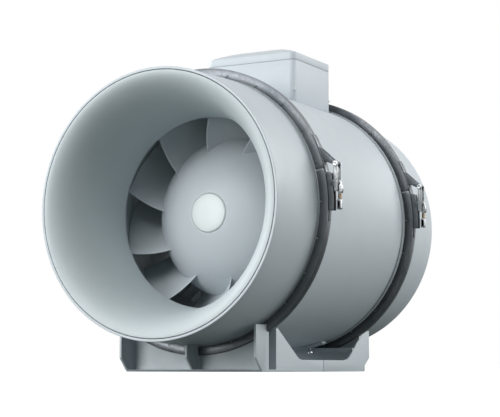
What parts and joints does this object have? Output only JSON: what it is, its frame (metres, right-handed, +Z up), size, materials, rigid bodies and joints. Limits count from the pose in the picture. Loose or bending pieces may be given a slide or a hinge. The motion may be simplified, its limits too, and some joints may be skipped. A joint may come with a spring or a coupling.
{
  "type": "inline duct fan",
  "caption": "Inline mixed-flow duct fan: bell inlet with domed impeller, clamped casing, round spigots, terminal box and stand.",
  "frame": {"origin": "middle of the stand's underside, below the fan axis", "axes": "+Z up, +Y along the air flow from inlet to outlet, +X towards the side with the latches"},
  "size_m": [0.3543, 0.444, 0.408],
  "materials": {
    "shell_plastic": "satin moulded plastic, cool light grey",
    "bell_plastic": "satin moulded plastic, cool light grey",
    "impeller_plastic": "satin moulded plastic",
    "cap_plastic": "satin moulded plastic, paler",
    "vane_plastic": "matt moulded plastic",
    "stand_plastic": "satin moulded plastic",
    "seal_rubber": "matt",
    "gasket_foam": "grey foamed rubber",
    "band_steel": "grey powder coat",
    "latch_steel": "satin",
    "zinc_steel": "bright zinc",
    "spring_brass": "satin",
    "motor_paint": "satin",
    "core_steel": "laminated",
    "winding_copper": "enamelled wire",
    "cable_sheath": "matt",
    "block_plastic": "semi gloss",
    "capacitor_can": "satin",
    "gland_plastic": "matt"
  },
  "bodies": {
    "housing": {"inlet_spigot": "shell_plastic", "inlet_bell": "bell_plastic", "inlet_seal": "seal_rubber", "centre_casing": "shell_plastic", "bulkhead": "bell_plastic", "shroud": "bell_plastic", "outlet_seal": "seal_rubber", "outlet_spigot": "shell_plastic", "motor_cup": "vane_plastic", "guide_vanes": "vane_plastic", "vane_ring": "vane_plastic", "tail_cone": "vane_plastic", "tail_screws": "zinc_steel", "motor_housing": "motor_paint", "motor_end_cap": "motor_paint", "motor_screws": "zinc_steel", "motor_core": "core_steel", "motor_windings": "winding_copper", "front_bearing": "zinc_steel", "rear_bearing": "zinc_steel", "motor_lead": "cable_sheath", "front_band": "band_steel", "front_catch": "band_steel", "front_latch_channel": "band_steel", "front_catch_pin": "zinc_steel", "front_lever_pin": "zinc_steel", "rear_band": "band_steel", "rear_catch": "band_steel", "rear_latch_channel": "band_steel", "rear_catch_pin": "zinc_steel", "rear_lever_pin": "zinc_steel", "stand_front": "stand_plastic", "stand_rear": "stand_plastic", "stand_screws": "zinc_steel", "terminal_box": "shell_plastic", "box_screws": "zinc_steel", "lid_gasket": "gasket_foam", "box_lid": "shell_plastic", "lid_screws": "zinc_steel", "terminal_block": "block_plastic", "terminal_screws": "spring_brass", "capacitor": "capacitor_can", "gland_body": "gland_plastic", "gland_locknut": "gland_plastic", "gland_seal": "seal_rubber", "gland_cap": "gland_plastic"},
    "rotor": {"motor_shaft": "zinc_steel", "motor_rotor": "core_steel", "impeller_hub": "impeller_plastic", "impeller_blades": "impeller_plastic", "impeller_washer": "zinc_steel", "impeller_nut": "zinc_steel", "nose_cap": "cap_plastic"},
    "front_lever_body": {"front_lever": "latch_steel", "front_handle_spring": "spring_brass"},
    "front_link_body": {"front_link": "latch_steel"},
    "rear_lever_body": {"rear_lever": "latch_steel", "rear_handle_spring": "spring_brass"},
    "rear_link_body": {"rear_link": "latch_steel"}
  },
  "joints": [
    {"name": "impeller_spin", "type": "hinge", "parent": "housing", "child": "rotor", "pos_m": [0, 0, 0.188], "axis": [0, -1, 0], "continuous": true},
    {"name": "front_lever_swing", "type": "hinge", "parent": "housing", "child": "front_lever_body", "pos_m": [0.18013, -0.121, 0.21091], "axis": [0, -1, 0], "range_deg": [0, 150]},
    {"name": "front_link_swing", "type": "hinge", "parent": "housing", "child": "front_link_body", "pos_m": [0.17853, -0.121, 0.23251], "axis": [0, -1, 0], "range_deg": [0, 45]},
    {"name": "rear_lever_swing", "type": "hinge", "parent": "housing", "child": "rear_lever_body", "pos_m": [0.18013, 0.127, 0.21091], "axis": [0, -1, 0], "range_deg": [0, 150]},
    {"name": "rear_link_swing", "type": "hinge", "parent": "housing", "child": "rear_link_body", "pos_m": [0.17853, 0.127, 0.23251], "axis": [0, -1, 0], "range_deg": [0, 45]}
  ],
  "couplings": [
    {"joint": "front_link_swing", "follows": "front_lever_swing", "ratio": 0.28},
    {"joint": "rear_link_swing", "follows": "rear_lever_swing", "ratio": 0.28}
  ]
}
